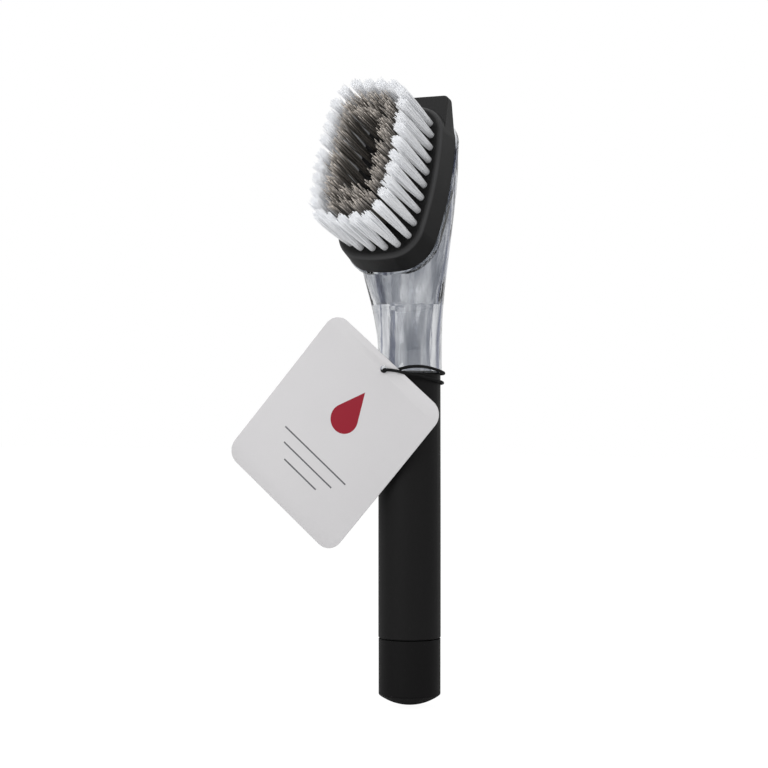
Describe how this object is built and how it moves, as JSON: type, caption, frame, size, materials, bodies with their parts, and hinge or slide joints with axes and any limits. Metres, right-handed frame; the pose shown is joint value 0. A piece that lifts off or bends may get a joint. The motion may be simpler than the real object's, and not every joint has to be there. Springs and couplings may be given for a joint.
{
  "type": "dish wand",
  "caption": "Dish brush with a soap-holding grip, twist-off end cap, clear hollow neck, tilted bristle head with a scraper lip, push-button valve and a card tag on a loop.",
  "frame": {"origin": "on the handle's axis, at the middle of the grip's straight stretch", "axes": "+Z along the handle towards the head, -Y towards the bristles, +X to the right seen from the bristles"},
  "size_m": [0.0993, 0.08, 0.2683],
  "materials": {
    "soft_black": "soft-touch matte",
    "soft_black_cap": "soft-touch matte",
    "black_plastic": "moulded",
    "block_black": "fine moulded grain",
    "button_black": "soft-touch matte",
    "clear_plastic": "clear, polished",
    "white_nylon": "fine filaments",
    "grey_nylon": "fine filaments",
    "steel": "drawn",
    "white_plastic": "moulded",
    "seal_rubber": "moulded",
    "diaphragm_rubber": "moulded",
    "card": "coated card",
    "elastic": "woven elastic cord"
  },
  "bodies": {
    "wand": {"grip_sleeve": "soft_black", "reservoir_tube": "black_plastic", "clear_housing": "clear_plastic", "neck_seal": "seal_rubber", "brush_block": "block_black", "head_seal": "seal_rubber", "white_tufts": "white_nylon", "grey_tufts": "grey_nylon", "tuft_anchors": "steel", "valve_seat": "white_plastic", "stem_guide": "black_plastic", "return_spring": "steel", "diaphragm": "diaphragm_rubber", "diaphragm_ring": "black_plastic", "button_bezel": "block_black"},
    "plunger": {"push_button": "button_black", "plunger_stem": "black_plastic", "poppet_seal": "seal_rubber"},
    "cap_lift_ring": {"cap_gasket": "seal_rubber"},
    "cap": {"end_cap": "soft_black_cap", "cap_insert": "black_plastic"},
    "tag": {"hang_tag": "card", "tag_loop": "elastic"}
  },
  "joints": [
    {"name": "button_press", "type": "slide", "parent": "wand", "child": "plunger", "axis": [0, -0.9272, 0.3746], "range_m": [0, 0.0035], "stiffness_N_per_m": 600, "springref_m": -0.002, "deforming": ["return_spring", "diaphragm"]},
    {"name": "cap_lift", "type": "slide", "parent": "wand", "child": "cap_lift_ring", "axis": [0, 0, -1], "range_m": [0, 0.01]},
    {"name": "cap_twist", "type": "hinge", "parent": "cap_lift_ring", "child": "cap", "pos_m": [0, 0, -0.04], "axis": [0, 0, -1], "range_deg": [0, 900]},
    {"name": "tag_turn", "type": "hinge", "parent": "wand", "child": "tag", "pos_m": [0, 0, 0.0876], "axis": [0, 0, 1], "continuous": true}
  ],
  "couplings": [
    {"joint": "cap_lift", "follows": "cap_twist", "m_per_rad": 0.00063662}
  ]
}
